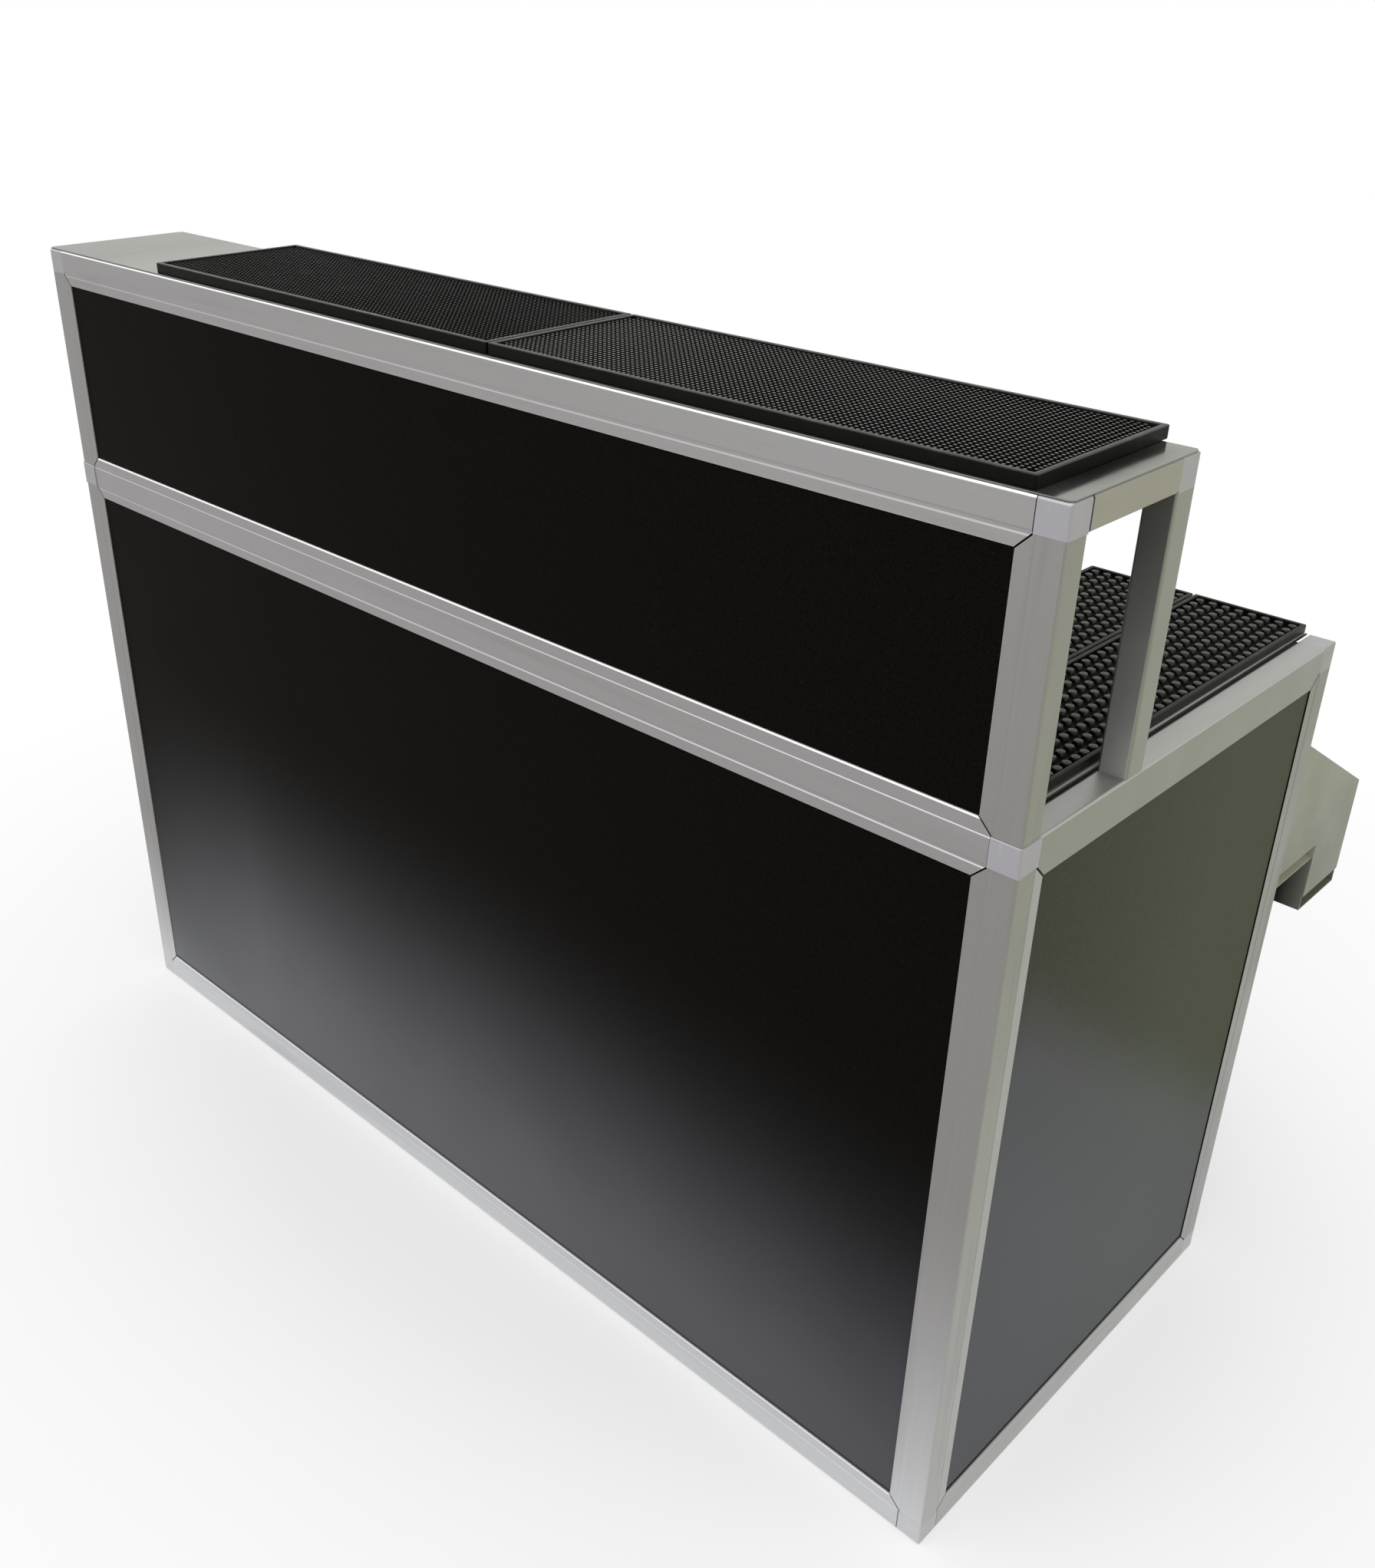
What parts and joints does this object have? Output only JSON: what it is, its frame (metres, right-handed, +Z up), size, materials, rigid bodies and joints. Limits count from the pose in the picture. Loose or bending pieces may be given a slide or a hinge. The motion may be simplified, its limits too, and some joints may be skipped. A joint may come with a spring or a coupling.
{
  "type": "folding portable bar",
  "caption": "Portable bar with black panels in a square-tube frame, folding side frames, raised serving shelf, lift-off worktop, rubber mats and a bottle rack.",
  "frame": {"origin": "middle of the bar's outline on the floor, under the middle of its length and depth", "axes": "+X along the bar to the right of a customer who faces it, +Y from the customer side to the bartender side, +Z up"},
  "size_m": [1.562, 0.8432, 1.1935],
  "materials": {
    "anodised_aluminium": "satin anodised, fine drawn lines",
    "black_aluminium": "black anodised, satin",
    "corner_plastic": "fine moulded texture",
    "black_laminate": "satin laminate, fine grain",
    "polished_sheet": "polished stainless sheet",
    "rack_steel": "satin stainless sheet",
    "mat_rubber": "moulded nubs and rim",
    "zinc_hardware": "bright zinc"
  },
  "bodies": {
    "front_frame": {"top_rail": "anodised_aluminium", "middle_rail": "anodised_aluminium", "bottom_rail": "anodised_aluminium", "lower_post_left": "anodised_aluminium", "lower_post_right": "anodised_aluminium", "upper_post_left": "anodised_aluminium", "upper_post_right": "anodised_aluminium", "top_corner_left": "corner_plastic", "top_corner_right": "corner_plastic", "middle_corner_left": "corner_plastic", "middle_corner_right": "corner_plastic", "bottom_corner_left": "corner_plastic", "bottom_corner_right": "corner_plastic", "upper_panel": "black_laminate", "lower_panel": "black_laminate", "front_ledge": "black_aluminium", "hinge_fixed_leaves": "zinc_hardware", "hinge_pins": "zinc_hardware", "front_screws": "zinc_hardware"},
    "side_frame_left": {"side_top_rail_left": "anodised_aluminium", "side_bottom_rail_left": "anodised_aluminium", "rear_post_left": "anodised_aluminium", "hinge_stile_left": "anodised_aluminium", "side_panel_left": "black_laminate", "rear_top_corner_left": "corner_plastic", "rear_bottom_corner_left": "corner_plastic", "side_ledge_left": "black_aluminium", "hinge_swing_leaves_left": "zinc_hardware", "side_screws_left": "zinc_hardware"},
    "side_frame_right": {"side_top_rail_right": "anodised_aluminium", "side_bottom_rail_right": "anodised_aluminium", "rear_post_right": "anodised_aluminium", "hinge_stile_right": "anodised_aluminium", "side_panel_right": "black_laminate", "rear_top_corner_right": "corner_plastic", "rear_bottom_corner_right": "corner_plastic", "side_ledge_right": "black_aluminium", "hinge_swing_leaves_right": "zinc_hardware", "side_screws_right": "zinc_hardware"},
    "worktop": {"worktop_sheet": "polished_sheet", "worktop_rear_rail": "anodised_aluminium", "worktop_front_beam": "anodised_aluminium", "worktop_bearers": "anodised_aluminium"},
    "serving_shelf": {"shelf_sheet": "polished_sheet", "shelf_rail_left": "anodised_aluminium", "shelf_rail_right": "anodised_aluminium", "shelf_rear_rail": "anodised_aluminium", "shelf_corner_left": "corner_plastic", "shelf_corner_right": "corner_plastic", "shelf_leg_left": "anodised_aluminium", "shelf_leg_right": "anodised_aluminium"},
    "speed_rack": {"rack_inner_tray": "rack_steel", "rack_outer_tray": "rack_steel", "rack_end_left": "rack_steel", "rack_end_right": "rack_steel", "rack_hooks": "zinc_hardware"},
    "shelf_mat_left": {"shelf_mat_left": "mat_rubber"},
    "shelf_mat_right": {"shelf_mat_right": "mat_rubber"},
    "worktop_mat_left": {"worktop_mat_left": "mat_rubber"},
    "worktop_mat_right": {"worktop_mat_right": "mat_rubber"}
  },
  "joints": [
    {"name": "right_side_fold", "type": "hinge", "parent": "front_frame", "child": "side_frame_right", "pos_m": [0.744, -0.38455, 0.14], "axis": [0, 0, 1], "range_deg": [0, 90]},
    {"name": "left_side_fold", "type": "hinge", "parent": "front_frame", "child": "side_frame_left", "pos_m": [-0.744, -0.38455, 0.14], "axis": [0, 0, -1], "range_deg": [0, 90]},
    {"name": "worktop_lift", "type": "slide", "parent": "front_frame", "child": "worktop", "axis": [0, 0, 1], "range_m": [0, 0.55]},
    {"name": "shelf_lift", "type": "slide", "parent": "worktop", "child": "serving_shelf", "axis": [0, 0, 1], "range_m": [0, 0.12]},
    {"name": "rack_unhook", "type": "slide", "parent": "worktop", "child": "speed_rack", "axis": [0, 0, 1], "range_m": [0, 0.03]},
    {"name": "shelf_mat_left_lift", "type": "slide", "parent": "serving_shelf", "child": "shelf_mat_left", "axis": [0, 0, 1], "range_m": [0, 0.05]},
    {"name": "shelf_mat_right_lift", "type": "slide", "parent": "serving_shelf", "child": "shelf_mat_right", "axis": [0, 0, 1], "range_m": [0, 0.05]},
    {"name": "worktop_mat_left_lift", "type": "slide", "parent": "worktop", "child": "worktop_mat_left", "axis": [0, 0, 1], "range_m": [0, 0.05]},
    {"name": "worktop_mat_right_lift", "type": "slide", "parent": "worktop", "child": "worktop_mat_right", "axis": [0, 0, 1], "range_m": [0, 0.05]}
  ],
  "couplings": [
    {"joint": "left_side_fold", "follows": "right_side_fold", "ratio": 1},
    {"joint": "worktop_lift", "follows": "right_side_fold", "m_per_rad": 0.35}
  ]
}
